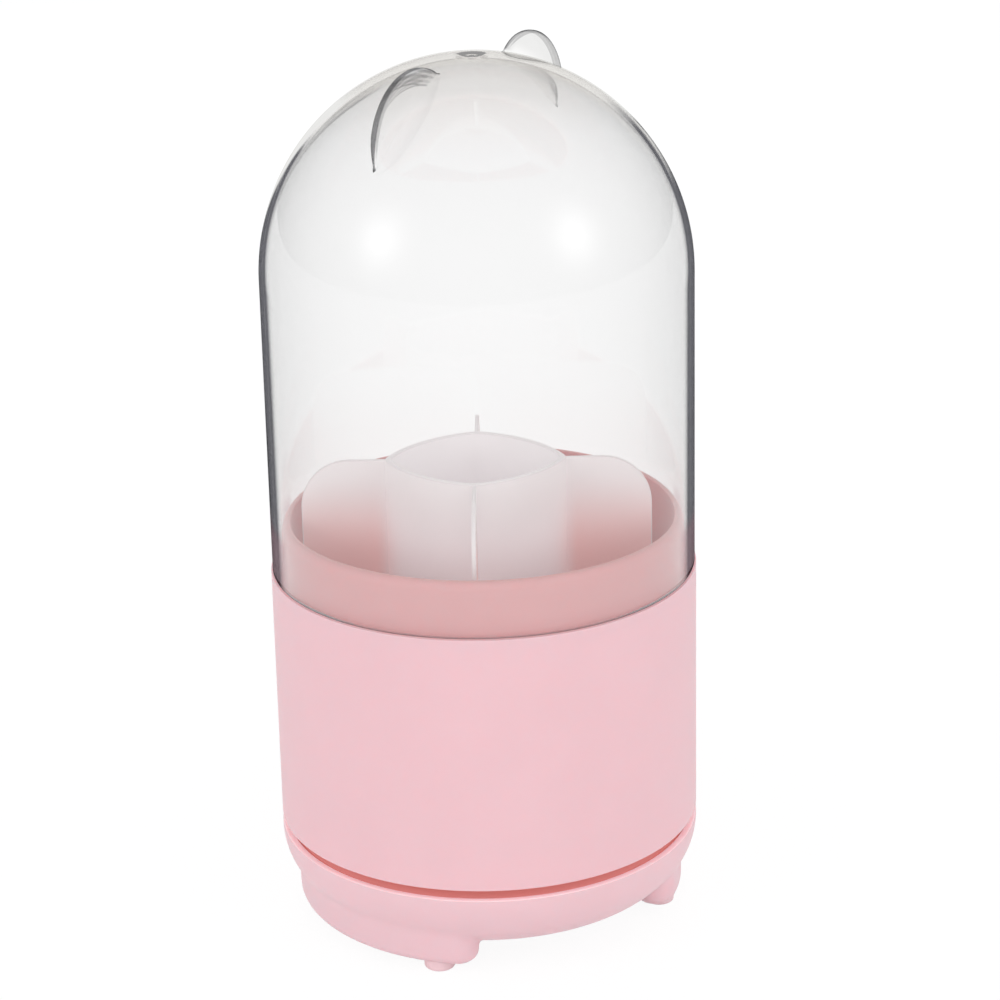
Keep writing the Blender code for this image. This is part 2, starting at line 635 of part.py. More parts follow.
def make_ear(index, heading):
    """A disc that stands out of the dome as a half-round ear."""
    ear = disc_object(f"ear_disc_{index}", EAR_RADIUS, EAR_THICKNESS, EAR_POINTS)
    bevel = ear.modifiers.new("Rounded rim", 'BEVEL')
    bevel.width = EAR_ROUND
    bevel.segments = 2
    bevel.limit_method = 'ANGLE'
    distance = LID_RADIUS + EAR_RISE - EAR_RADIUS
    place = heading_point(heading, distance * math.sin(EAR_TILT), DOME_Z + distance * math.cos(EAR_TILT))
    stand = Matrix.Rotation(math.pi / 2, 4, 'X')
    ear.matrix_world = Matrix.Translation(place) @ Matrix.Rotation(heading, 4, 'Z') @ stand
    return ear


def make_lid(cutters):
    """The clear lid: a straight side, a dome, two ears and the mould's gate mark."""
    dome = dome_profile(0.0, GATE_RADIUS)
    gate_floor = dome[0][1] - GATE_DEPTH
    profile = [(0.0, gate_floor), (GATE_RADIUS, gate_floor)] + dome
    profile += [(LID_RADIUS, LID_BOTTOM_Z + LID_EDGE_ROUND), (LID_RADIUS - LID_EDGE_ROUND, LID_BOTTOM_Z)]
    profile += [(0.0, LID_BOTTOM_Z)]
    lid = turned("dome_lid", profile, SHELL_STEPS)
    for index, heading in enumerate((EAR_HEADING, EAR_HEADING + math.pi), 1):
        combine(lid, make_ear(index, heading), 'UNION', cutters)
    core = dome_profile(LID_WALL)
    core += [(LID_BORE, LID_BOTTOM_Z - CUT_OVERRUN), (0.0, LID_BOTTOM_Z - CUT_OVERRUN)]
    combine(lid, turned("lid_core", core, SHELL_STEPS), 'DIFFERENCE', cutters)
    return lid


def settle(parts):
    """Turn each part's modifiers into plain mesh, shaded smooth between its sharp edges."""
    bpy.context.view_layer.update()
    graph = bpy.context.evaluated_depsgraph_get()
    meshes = [bpy.data.meshes.new_from_object(item.evaluated_get(graph)) for item in parts]
    for item, mesh in zip(parts, meshes):
        item.modifiers.clear()
        item.data = mesh
        mesh.name = item.name
        mesh.shade_smooth()
        mesh.set_sharp_from_angle(angle=SMOOTH_ANGLE)


def add_body(group, name, height, parent, pieces):
    """Hang pieces of given materials on an empty on the turning axis."""
    pivot = bpy.data.objects.new(name, None)
    pivot.empty_display_size = BODY_RADIUS
    pivot.location = (0.0, 0.0, height)
    group.objects.link(pivot)
    if parent is not None:
        pivot.parent = parent
        pivot.location.z -= parent.matrix_world.translation.z
    bpy.context.view_layer.update()
    for item, material in pieces:
        group.objects.link(item)
        item.data.materials.append(material)
        item.parent = pivot
        item.matrix_parent_inverse = pivot.matrix_world.inverted()
    return pivot


def build():
    """Make every piece, hang it on its body, and keep the parts in one collection."""
    clear_scene()
    group = new_collection(PRODUCT)
    cutters = new_collection("cutters")
    pink = new_material("pink_plastic", (0.86, 0.52, 0.57), 0.38)
    pad_pink = new_material("pad_rubber", (0.8, 0.5, 0.54), 0.7)
    white = new_material("frosted_white_plastic", (0.83, 0.78, 0.79), 0.45)
    natural = new_material("bearing_plastic", (0.72, 0.72, 0.7), 0.4)
    clear = new_material("clear_plastic", (0.93, 0.94, 0.94), 0.03, alpha=0.25)
    steel = new_material("steel", (0.58, 0.58, 0.6), 0.25, metallic=1.0)

    base_pieces = [(make_base_bowl(cutters), pink), (make_base_deck(cutters), pink)]
    base_pieces += [(make_foot_pad(index, heading), pad_pink) for index, heading in enumerate(pad_headings(), 1)]
    for index, place in enumerate(post_places(), 1):
        screw = make_screw(f"deck_screw_{index}", place, DECK_SCREW_SEAT_Z - TOUCH_GAP, DECK_SCREW_TIP_Z, -1)
        base_pieces.append((screw, steel))
    retainer = make_screw("retaining_screw", (0.0, 0.0, 0.0), RETAINER_SEAT_Z, RETAINER_TIP_Z, 1)
    base_pieces += [(make_axle(cutters), steel), (make_washer(), steel), (retainer, steel)]

    cage_pieces = [(make_ball_cage(cutters), natural)]
    cage_pieces += [(make_ball(index, heading), steel) for index, heading in enumerate(around(BALL_COUNT), 1)]

    cup_pieces = [(make_turntable_plate(cutters), natural), (make_cup_shell(cutters), pink)]
    cup_pieces += [(make_cup_bucket(), pink)]
    for index, place in enumerate(cup_screw_places(), 1):
        screw = make_screw(f"cup_screw_{index}", place, CUP_SCREW_SEAT_Z, CUP_SCREW_TIP_Z, -1)
        cup_pieces.append((screw, steel))

    base = add_body(group, "base_body", 0.0, None, base_pieces)
    cage = add_body(group, "cage_body", BALL_Z, base, cage_pieces)
    cup = add_body(group, "cup_body", PLATE_BOTTOM_Z, base, cup_pieces)
    divider_pieces = [(make_divider(cutters), white)]
    divider = add_body(group, "divider_body", DIVIDER_BOTTOM_Z, cup, divider_pieces)
    lid_pieces = [(make_lid(cutters), clear)]
    lid = add_body(group, "lid_body", LID_BOTTOM_Z, cup, lid_pieces)
    settle([item for body in (base, cage, cup, divider, lid) for item in body.children if item.data])


build()
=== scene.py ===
"""Looks of the rotating brush organiser: a clear domed lid over a pink bucket on a footed turntable.

Sizes in the tables are millimetres from the ground up, and headings are degrees from +X towards +Y.
"""
import math

import bmesh
import bpy
from mathutils import Matrix, Vector

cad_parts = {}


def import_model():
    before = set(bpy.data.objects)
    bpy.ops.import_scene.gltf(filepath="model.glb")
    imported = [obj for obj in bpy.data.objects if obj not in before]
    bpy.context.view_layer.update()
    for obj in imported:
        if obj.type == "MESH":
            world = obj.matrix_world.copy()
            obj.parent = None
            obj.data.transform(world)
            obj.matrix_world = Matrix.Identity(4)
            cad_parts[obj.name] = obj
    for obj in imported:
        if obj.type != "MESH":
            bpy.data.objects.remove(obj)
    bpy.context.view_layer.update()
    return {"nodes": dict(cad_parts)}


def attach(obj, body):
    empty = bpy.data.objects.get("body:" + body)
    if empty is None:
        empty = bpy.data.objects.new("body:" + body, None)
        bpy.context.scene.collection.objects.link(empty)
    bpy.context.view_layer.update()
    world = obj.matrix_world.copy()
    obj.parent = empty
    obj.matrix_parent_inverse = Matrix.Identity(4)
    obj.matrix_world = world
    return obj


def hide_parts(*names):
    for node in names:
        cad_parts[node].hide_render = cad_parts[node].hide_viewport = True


MM = 0.001
STEPS = 224
SMOOTH_ANGLE = 38.0
AXIS_Z = Vector((0.0, 0.0, 1.0))

# Heights and radii of the visible shells
LIP_Z, CUP_Z, SEAM_Z, COLLAR_Z = 24.8, 27.8, 98.8, 113.5
BODY_R, LID_R, LID_WALL = 57.5, 57.1, 2.0
LID_Z, DOME_Z, DOME_RISE = 99.05, 179.8, 57.7
BOWL_Z, BOWL_ROUND, BOWL_WALL, BOWL_CORNER_Z = 6.4, 18.0, 2.2, LIP_Z - 1.0
CUP_WALL, CUP_FLOOR, LEDGE_Z = 2.4, (32.35, 34.35), 97.0
BUCKET_R, BUCKET_BORE, BUCKET_FLOOR = 54.3, 51.7, 41.85
DIVIDER_Z, RIM_Z, DIVIDER_X, DIVIDER_TURN = 42.15, 128.4, -1.6, -1.1
CHAMBER, CHAMBER_BOW, CHAMBER_WALL = (24.6, 22.0), 4.0, 1.5
FIN_REACH, FIN_SHOULDER, FIN_Z = 47.3, 13.3, RIM_Z - 0.15
EAR_R, EAR_OUT, EAR_TILT = 18.4, 48.1, 32.5
EAR_ROOT, EAR_HALF, EAR_ROUND, EAR_FLARE = 57.5, 1.25, 1.0, 0.6
SKID_Z, SKID_R, SKID_HALF_WIDTH, SKID_HALF_SPAN, SKID_ROUND = 2.7, 47.65, 5.65, 48.6, 3.0

# Headings of what repeats round the axis, and how far out the screws stand
PAD_HEADINGS = (167.5, 252.5, 347.5, 72.5)
CUP_SCREW_HEADINGS, CUP_SCREW_OUT = (0, 120, 240), 19.8
DECK_SCREW_HEADINGS, DECK_SCREW_OUT = (30, 120, 210, 300), 28.0

# Camera in metres and degrees, and the lamps: name, direction, radius in metres and power in watts
CAMERA_PLACE, CAMERA_PITCH, CAMERA_YAW, CAMERA_ROLL = (0.0, -0.8051, 0.4110), 20.094, 0.488, 1.221
CAMERA_LENS, CAMERA_SENSOR, CAMERA_SHIFT = 114.64, 36.0, (-0.0077, -0.0026)
KEY_LEFT, KEY_RIGHT = (-0.763, -0.502, 0.406), (0.783, -0.477, 0.4)
LAMP_DISTANCE, LAMP_AIM_Z = 1.3, 0.12
LAMPS = (("key_left", KEY_LEFT, 0.42, 3.1), ("key_right", KEY_RIGHT, 0.42, 2.9),
         ("fill_front", (0.02, -0.98, 0.2), 0.3, 1.9), ("fill_back", (0.0, 0.95, 0.3), 0.3, 3.0),
         ("fill_top", (0.05, -0.35, 0.94), 0.4, 0.6))
FLOOR_HALF, FLOOR_DROP = 6.0, 0.00005

# What the clear plastic takes from light that only falls through it, and its colour in the viewport
CLEAR_VEIL, CLEAR_SWATCH = (0.985, 0.982, 0.978, 1.0), (0.9, 0.9, 0.9, 0.25)


# ---------------------------------------------------------------- nodes

class Tree:
    """A small helper that adds and links nodes of one material or world."""

    def __init__(self, owner):
        owner.use_nodes = True
        self.nodes = owner.node_tree.nodes
        self.links = owner.node_tree.links
        self.nodes.clear()

    def add(self, kind, inputs=None, **settings):
        node = self.nodes.new(kind)
        for key, value in settings.items():
            setattr(node, key, value)
        for key, value in (inputs or {}).items():
            self.feed(node.inputs[key], value)
        return node

    def feed(self, socket, value):
        """Link a socket to another node, or set its value."""
        if isinstance(value, bpy.types.NodeSocket):
            self.links.new(value, socket)
        else:
            socket.default_value = value

    def math(self, operation, first, second=0.0, clamp=False):
        node = self.add('ShaderNodeMath', {0: first, 1: second}, operation=operation, use_clamp=clamp)
        return node.outputs[0]

    def times(self, first, second):
        return self.math('MULTIPLY', first, second)

    def most(self, first, second):
        return self.math('MAXIMUM', first, second)

    def vector(self, operation, first, second=(0.0, 0.0, 0.0), output='Vector'):
        return self.add('ShaderNodeVectorMath', {0: first, 1: second}, operation=operation).outputs[output]

    def span(self, value, low, high, to_low=0.0, to_high=1.0, smooth=True):
        kind = 'SMOOTHSTEP' if smooth else 'LINEAR'
        sizes = {'Value': value, 'From Min': low, 'From Max': high, 'To Min': to_low, 'To Max': to_high}
        return self.add('ShaderNodeMapRange', sizes, interpolation_type=kind).outputs[0]

    def mix(self, factor, first, second):
        node = self.add('ShaderNodeMix', data_type='RGBA')
        for index, value in ((0, factor), (6, first), (7, second)):
            self.feed(node.inputs[index], value)
        return node.outputs[2]

    def ramp(self, value, *stops):
        """Grey levels between (place, level) stops."""
        node = self.add('ShaderNodeValToRGB', {'Fac': value})
        elements = node.color_ramp.elements
        elements.remove(elements[-1])
        for index, (place, level) in enumerate(stops):
            stop = elements[0] if index == 0 else elements.new(place)
            stop.position = place
            stop.color = rgb(level, level, level)
        return node.outputs['Color']

    def blend(self, factor, first, second):
        """Mix two shaders."""
        node = self.add('ShaderNodeMixShader')
        for socket, value in zip(node.inputs, (factor, first, second)):
            self.feed(socket, value)
        return node.outputs[0]


def rgb(red, green, blue):
    return (red, green, blue, 1.0)


def moulded(name, colour, rough, grain=0.35, mottle=0.008, scale=2600.0, through=0.0, painted_shading=None,
            lit=None, brim=None, **sockets):
    """A moulded plastic: a faint orange peel, slow changes of tone, and uneven gloss.

    through is the share of the light that passes. blush is (first, last, colour), painted light or shade: a
    tone taken on from one height to another, and with (near, far, least) it is weaker near the axis. lit is
    painted light, a glow given in the same way, and with (colour, near, far) it adds to that colour near the
    axis alone. brim is (radius, height, near, far, colour), a rim's tone at a distance from the circle at that
    place."""
    material = bpy.data.materials.new(name)
    tree = Tree(material)
    place = tree.add('ShaderNodeTexCoord').outputs['Object']
    cloud = tree.add('ShaderNodeTexNoise', {'Vector': place, 'Scale': 55.0, 'Detail': 3.0}).outputs['Fac']
    peel = tree.add('ShaderNodeTexNoise', {'Vector': place, 'Scale': scale, 'Detail': 2.0}).outputs['Fac']
    shade = [value * (1.0 - mottle) for value in colour[:3]] + [1.0]
    tint = [min(1.0, value * (1.0 + mottle)) for value in colour[:3]] + [1.0]
    tone = tree.mix(tree.span(cloud, 0.3, 0.7), shade, tint)
    unevenness = tree.math('ADD', cloud, tree.times(peel, 0.4))
    gloss = tree.span(unevenness, 0.3, 1.1, rough - 0.04, rough + 0.05, smooth=False)
    bump = tree.add('ShaderNodeBump', {'Height': peel, 'Strength': grain, 'Distance': 0.00002}).outputs[0]
    height = tree.add('ShaderNodeSeparateXYZ', {'Vector': place}).outputs['Z']
    away = tree.vector('LENGTH', tree.vector('MULTIPLY', place, (1.0, 1.0, 0.0)), output='Value')
    # Painted light or shade, taken on from one height to another
    if painted_shading:
        first, last, hue, *outward = painted_shading
        share = tree.span(height, first * MM, last * MM)
        if outward:
            near, far, least = outward
            share = tree.times(share, tree.span(away, near * MM, far * MM, least, 1.0))
        tone = tree.mix(share, tone, hue)
    if brim:
        across, up, near, far, hue = brim
        out = tree.most(tree.math('SUBTRACT', away, across * MM), 0.0)
        over = tree.most(tree.math('SUBTRACT', height, up * MM), 0.0)
        reach = tree.math('SQRT', tree.math('ADD', tree.times(out, out), tree.times(over, over)))
        tone = tree.mix(tree.span(reach, near * MM, far * MM), tone, hue)
    shader = tree.add('ShaderNodeBsdfPrincipled', {'Base Color': tone, 'Roughness': gloss, 'Normal': bump})
    for key, value in sockets.items():
        shader.inputs[key.replace('_', ' ')].default_value = value
    # Painted light: a glow by height, the part being no lamp
    if lit:
        first, last, hue, *inward = lit
        share, plain = tree.span(height, first * MM, last * MM), rgb(0.0, 0.0, 0.0)
        if inward:
            plain, near, far = inward
            share = tree.times(share, tree.span(away, near * MM, far * MM, 1.0, 0.0))
        shade = tree.mix(share, plain, hue)
        tree.links.new(shade, shader.inputs['Emission Color'])
        shader.inputs['Emission Strength'].default_value = 1.0
    surface = shader.outputs[0]
    if through:
        glow = tree.add('ShaderNodeBsdfTranslucent', {'Color': tone})
        surface = tree.blend(through, surface, glow.outputs[0])
    tree.add('ShaderNodeOutputMaterial', {'Surface': surface})
    material.diffuse_color = colour
    return material


def clear_plastic(name):
    """Clear styrene: refracting for the eye, and open to the light that falls through it."""
    material = bpy.data.materials.new(name)
    tree = Tree(material)
    place = tree.add('ShaderNodeTexCoord').outputs['Object']
    wave = tree.add('ShaderNodeTexNoise', {'Vector': place, 'Scale': 24.0, 'Detail': 1.0}).outputs['Fac']
    bump = tree.add('ShaderNodeBump', {'Height': wave, 'Strength': 0.10, 'Distance': 0.0004}).outputs[0]
    # The tone follows the plain dome under the ears, from the place alone
    spot = tree.add('ShaderNodeSeparateXYZ', {'Vector': place}).outputs
    over = tree.most(tree.math('SUBTRACT', spot['Z'], DOME_Z * MM), 0.0)
    plain = tree.add('ShaderNodeCombineXYZ', {'X': spot['X'], 'Y': spot['Y'], 'Z': over}).outputs[0]
    plain = tree.add('ShaderNodeVectorTransform', {'Vector': plain}, vector_type='NORMAL',
                     convert_from='OBJECT', convert_to='WORLD').outputs[0]
    plain = tree.vector('NORMALIZE', plain)
    facing = tree.add('ShaderNodeLayerWeight', {'Blend': 0.5, 'Normal': plain}).outputs['Facing']
    lean = tree.add('ShaderNodeSeparateXYZ', {'Vector': plain}).outputs
    rise = tree.math('ABSOLUTE', lean['Z'])
    tone = tree.ramp(facing, (0.0, 0.977), (0.22, 0.953), (0.37, 0.925), (0.5, 0.885), (0.65, 0.83), (0.74, 0.75),
                     (0.8, 0.72))
    warm = tree.mix(tree.span(rise, 0.7, 0.95), rgb(1.0, 1.0, 1.0), rgb(1.0, 0.985, 0.97))
    # The upper rim is a trace darker between its two lines
    band = tree.times(tree.span(facing, 0.7, 0.76), tree.span(facing, 0.84, 0.9, 1.0, 0.0))
    band = tree.times(band, tree.span(rise, 0.5, 0.62))
    warm = tree.mix(band, warm, rgb(0.965, 0.96, 0.95))
    # Painted refraction: in front of the collar the sides take on its mauve
    zone = tree.span(spot['Z'], (COLLAR_Z + 3.0) * MM, (COLLAR_Z - 2.0) * MM)
    mauve = tree.times(tree.span(facing, 0.64, 0.7), tree.span(facing, 0.74, 0.8, 1.0, 0.3))
    warm = tree.mix(tree.times(zone, mauve), warm, rgb(0.68, 0.48, 0.52))
    tone = tree.vector('MULTIPLY', tone, warm)
    shader = tree.add('ShaderNodeBsdfPrincipled', {'Base Color': tone, 'Roughness': 0.0, 'IOR': 1.5,
                                                   'Transmission Weight': 1.0, 'Normal': bump})
    # The wall seen edge on is dark. Higher up only its inner line stays so, and fades high on the left, painted
    # light from that side
    line = tree.times(tree.span(facing, 0.69, 0.765, smooth=False), tree.span(facing, 0.8, 0.87, 1.0, 0.0))
    line = tree.times(line, tree.span(rise, 0.66, 0.84, 1.0, 0.0))
    side = tree.span(lean['X'], -0.25, -0.5)
    faded = tree.times(side, tree.span(rise, 0.6, 0.72))
    line = tree.times(line, tree.math('SUBTRACT', 1.0, faded))
    rim = tree.span(facing, 0.76, 0.82)
    dark = tree.most(line, tree.times(rim, tree.span(rise, 0.38, 0.64, 1.0, 0.0)))
    rim = tree.most(rim, tree.times(tree.span(facing, 0.6, 0.74), tree.span(rise, 0.5, 0.8)))
    path = tree.add('ShaderNodeLightPath')
    first = tree.math('LESS_THAN', path.outputs['Transmission Depth'], 0.5)
    # Painted light: high on the left and round the top the outermost line is pale, on the left wider the higher it
    # is
    widening = tree.times(tree.math('SUBTRACT', tree.math('MINIMUM', rise, 0.75), 0.36), 0.4)
    pale = tree.span(tree.math('ADD', facing, widening), 0.88, 0.924)
    pale = tree.times(pale, tree.times(side, tree.span(rise, 0.78, 0.88, 1.0, 0.0)))
    crown = tree.span(rise, 0.6, 0.7)
    pale = tree.most(pale, tree.times(crown, tree.span(facing, 0.875, 0.915)))
    side = tree.most(side, crown)
    passed = tree.times(tree.math('GREATER_THAN', path.outputs['Transparent Depth'], 0.5), first)
    passed = tree.times(passed, tree.times(side, tree.span(facing, 0.6, 0.68)))
    pale = tree.most(pale, passed)
    rose = rgb(0.13, 0.07, 0.08)
    shade = tree.mix(zone, rgb(0.15, 0.15, 0.165), rgb(0.2, 0.15, 0.17))
    shade = tree.mix(dark, tree.vector('MULTIPLY', warm, (0.86, 0.853, 0.836)), shade)
    edge = tree.add('ShaderNodeBsdfRefraction', {'Color': shade, 'Roughness': 0.0, 'IOR': 1.5})
    share = tree.times(tree.most(dark, rim), first)
    wall = tree.blend(share, shader.outputs[0], edge.outputs[0])
    again = tree.math('GREATER_THAN', path.outputs['Transparent Depth'], 0.5)
    thin = tree.mix(again, rgb(0.79, 0.788, 0.775), rgb(1.0, 1.0, 1.0))
    thin = tree.add('ShaderNodeBsdfTransparent', {'Color': thin})
    wall = tree.blend(pale, wall, thin.outputs[0])
    # Light that stays caught in the wall ends in a soft grey, and in a dark rose at the seam
    low = tree.span(spot['Z'], (LID_Z + 2.5) * MM, (LID_Z + 0.5) * MM)
    ending = tree.mix(zone, rgb(0.36, 0.36, 0.37), rgb(0.45, 0.35, 0.38))
    ending = tree.mix(low, ending, rose)
    caught = tree.add('ShaderNodeEmission', {'Color': ending, 'Strength': 1.0})
    deep = tree.math('GREATER_THAN', path.outputs['Ray Depth'], 5.5)
    wall = tree.blend(deep, wall, caught.outputs[0])
    # Painted shade: the lid's lower edge is a dark rose diffuse band and shows as a dark line over the seam,
    # fainter where it faces the eye
    foot = tree.span(spot['Z'], (LID_Z + 0.3) * MM, (LID_Z + 0.15) * MM)
    foot = tree.times(foot, tree.span(facing, 0.08, 0.4, 0.35, 0.8))
    seam_shade = tree.add('ShaderNodeBsdfDiffuse', {'Color': rose})
    wall = tree.blend(foot, wall, seam_shade.outputs[0])
    veil = tree.add('ShaderNodeBsdfTransparent', {'Color': CLEAR_VEIL})
    through = tree.most(path.outputs['Is Shadow Ray'], path.outputs['Is Diffuse Ray'])
    tree.add('ShaderNodeOutputMaterial', {'Surface': tree.blend(through, wall, veil.outputs[0])})
    material.diffuse_color = CLEAR_SWATCH
    return material


def clear_ear(name, centre, normal, toward, tint, foot_tint, outline, refraction_strength):
    """The same styrene where it stands up thin: a see-through pane with fine grey lines of painted refraction at
    its rim.

    normal stands square on the ear's disc, and toward lies in it and points to the dome's top.
    outline and flow are the strengths of the outermost line and of the painted refraction lines."""
    material = bpy.data.materials.new(name)
    tree = Tree(material)
    place = tree.add('ShaderNodeTexCoord').outputs['Object']
    offset = tree.vector('SUBTRACT', place, centre)
    reach = tree.vector('LENGTH', offset, output='Value')
    aside = tree.math('ABSOLUTE', tree.vector('DOT_PRODUCT', offset, normal, 'Value'))
    inner = tree.times(tree.span(reach, (EAR_R - 0.85) * MM, (EAR_R - 0.55) * MM),
                       tree.span(aside, 0.55 * MM, 0.95 * MM))
    # Towards the dome the pane fades into it, without a line
    high = tree.vector('DISTANCE', place, AXIS_Z * (DOME_Z * MM), 'Value')
    free = tree.span(high, (EAR_ROOT + 0.3) * MM, (EAR_ROOT + 1.4) * MM)
    facing = tree.add('ShaderNodeLayerWeight', {'Blend': 0.5}).outputs['Facing']
    edge = tree.times(tree.span(facing, 0.5, 0.78, smooth=False), free)
    line = tree.most(edge, tree.times(inner, 0.36))
    outer = tree.times(tree.span(reach, (EAR_R - 0.3) * MM, (EAR_R - 0.08) * MM), outline)
    line = tree.most(line, outer)
    # Painted refraction lines over a strip inside the rim, which widens towards the dome's top
    along = tree.vector('DOT_PRODUCT', offset, toward, 'Value')
    width = tree.span(along, -0.6 * EAR_R * MM, 0.6 * EAR_R * MM, 0.1 * MM, 4.6 * MM)
    depth = tree.math('DIVIDE', tree.math('SUBTRACT', EAR_R * MM, reach), width)
    refraction_lines = tree.ramp(depth, (0.0, 0.0), (0.14, 0.35), (0.28, 0.03), (0.44, 0.32), (0.58, 0.07), (0.72, 0.26),
                      (0.84, 0.08), (0.94, 0.42), (1.0, 0.0))
    line = tree.most(line, tree.times(refraction_lines, tree.times(free, refraction_strength)))
    tone = tree.mix(tree.span(high, EAR_ROOT * MM, (EAR_ROOT + 4.0) * MM), foot_tint, tint)
    tone = tree.mix(line, tone, rgb(0.12, 0.12, 0.13))
    pane = tree.add('ShaderNodeBsdfTransparent', {'Color': tone})
    sheen = tree.add('ShaderNodeBsdfGlossy', {'Color': rgb(1.0, 1.0, 1.0), 'Roughness': 0.03})
    gloss = tree.times(tree.times(tree.math('POWER', facing, 5.0), free), 0.7)
    gloss = tree.math('ADD', gloss, 0.02)
    surface = tree.blend(gloss, pane.outputs[0], sheen.outputs[0])
    veil = tree.add('ShaderNodeBsdfTransparent', {'Color': CLEAR_VEIL})
    path = tree.add('ShaderNodeLightPath').outputs
    through = tree.most(path['Is Shadow Ray'], path['Is Diffuse Ray'])
    tree.add('ShaderNodeOutputMaterial', {'Surface': tree.blend(through, surface, veil.outputs[0])})
    material.diffuse_color = CLEAR_SWATCH
    return material


def steel(name):
    """Bright plated steel with fine turning marks."""
    material = bpy.data.materials.new(name)
    tree = Tree(material)
    place = tree.add('ShaderNodeTexCoord').outputs['Object']
    marks = tree.add('ShaderNodeTexWave', {'Vector': place, 'Scale': 900.0, 'Distortion': 1.5},
                     wave_type='RINGS', rings_direction='Z').outputs['Fac']
    rough = tree.span(marks, 0.0, 1.0, 0.18, 0.3, smooth=False)
    bump = tree.add('ShaderNodeBump', {'Height': marks, 'Strength': 0.1, 'Distance': 0.00001}).outputs[0]
    tone = tree.mix(marks, rgb(0.55, 0.55, 0.57), rgb(0.64, 0.64, 0.66))
    shader = tree.add('ShaderNodeBsdfPrincipled', {'Base Color': tone, 'Roughness': rough, 'Normal': bump,
                                                   'Metallic': 1.0})
    tree.add('ShaderNodeOutputMaterial', {'Surface': shader.outputs[0]})
    material.diffuse_color = rgb(0.6, 0.6, 0.62)
    return material


# ---------------------------------------------------------------- stage

def seen_directly(tree):
    """Two shares: one for rays from the camera and through the clear lid, and one for rays from gloss."""
    path = tree.add('ShaderNodeLightPath')
    direct = tree.most(path.outputs['Is Camera Ray'], path.outputs['Is Transmission Ray'])
    # A ray that the lid lets through counts as glossy too, and is left out here
    glossy = tree.math('SUBTRACT', path.outputs['Is Glossy Ray'], direct, clamp=True)
    return direct, glossy


def make_world():
    """White surroundings, two soft round glows for gloss, and a plain dimmer light for the rest."""
    world = bpy.data.worlds.new("studio")
    bpy.context.scene.world = world
    tree = Tree(world)
    heading = tree.add('ShaderNodeTexCoord').outputs['Generated']
    turn = tree.add('ShaderNodeSeparateXYZ', {'Vector': heading}).outputs
    sheen = tree.span(turn['Z'], 0.35, 0.95, 0.58, 0.16)
    sheen = tree.times(sheen, tree.span(turn['Y'], -0.2, 0.5, 1.0, 0.72))
    for glow in (KEY_LEFT, KEY_RIGHT):
        toward = tree.vector('DOT_PRODUCT', heading, glow, 'Value')
        lobe = tree.math('POWER', tree.most(toward, 0.0), 44.0)
        sheen = tree.math('ADD', sheen, tree.times(lobe, 2.6))
    direct, glossy = seen_directly(tree)
    strength = tree.math('ADD', direct, tree.times(sheen, glossy))
    rest = tree.math('SUBTRACT', 1.0, tree.math('ADD', direct, glossy), clamp=True)
    strength = tree.math('ADD', strength, tree.times(rest, 0.64))
    back = tree.add('ShaderNodeBackground', {'Color': rgb(1.0, 1.0, 1.0), 'Strength': strength})
    tree.add('ShaderNodeOutputWorld', {'Surface': back.outputs[0]})


def make_floor():
    """A wide pale floor that reads white and keeps a soft shadow."""
    mesh = bpy.data.meshes.new("floor")
    half = FLOOR_HALF
    mesh.from_pydata([(-half, -half, 0), (half, -half, 0), (half, half, 0), (-half, half, 0)], [], [(0, 1, 2, 3)])
    floor = bpy.data.objects.new("floor", mesh)
    bpy.context.scene.collection.objects.link(floor)
    floor.location.z = -FLOOR_DROP
    material = bpy.data.materials.new("floor_white")
    tree = Tree(material)
    direct, glossy = seen_directly(tree)
    lit = tree.add('ShaderNodeBsdfDiffuse', {'Color': rgb(0.93, 0.93, 0.93)})
    white = tree.add('ShaderNodeEmission', {'Color': rgb(1.0, 1.0, 1.0), 'Strength': 1.03})
    share = tree.times(tree.math('ADD', direct, glossy, clamp=True), 0.9)
    surface = tree.blend(share, lit.outputs[0], white.outputs[0])
    tree.add('ShaderNodeOutputMaterial', {'Surface': surface})
    mesh.materials.append(material)


def make_lamp(name, direction, radius, power):
    """A round soft lamp that lights the object without showing in it."""
    data = bpy.data.lights.new(name, 'AREA')
    data.shape = 'DISK'
    data.size = radius * 2
    data.energy = power
    lamp = bpy.data.objects.new(name, data)
    bpy.context.scene.collection.objects.link(lamp)
    toward = Vector(direction).normalized()
    lamp.location = toward * LAMP_DISTANCE + AXIS_Z * LAMP_AIM_Z
    lamp.rotation_euler = toward.to_track_quat('Z', 'Y').to_euler()
    lamp.visible_glossy = False
    lamp.visible_transmission = False
    lamp.visible_camera = False


def make_camera():
    """The photograph's view: from the front, a little above, with a slight roll."""
    pitch, yaw, roll = (math.radians(angle) for angle in (CAMERA_PITCH, CAMERA_YAW, CAMERA_ROLL))
    forward = Vector((math.sin(yaw) * math.cos(pitch), math.cos(yaw) * math.cos(pitch), -math.sin(pitch)))
    right = forward.cross(AXIS_Z).normalized()
    down = forward.cross(right)
    across = math.cos(roll) * right + math.sin(roll) * down
    along = math.cos(roll) * down - math.sin(roll) * right
    data = bpy.data.cameras.new("camera")
    data.lens = CAMERA_LENS
    data.sensor_width = CAMERA_SENSOR
    data.shift_x, data.shift_y = CAMERA_SHIFT
    data.clip_start = 0.02
    camera = bpy.data.objects.new("camera", data)
    bpy.context.scene.collection.objects.link(camera)
    turn = Matrix((across, -along, -forward)).transposed()
    camera.matrix_world = Matrix.Translation(CAMERA_PLACE) @ turn.to_4x4()
    bpy.context.scene.camera = camera


# ---------------------------------------------------------------- mesh tools

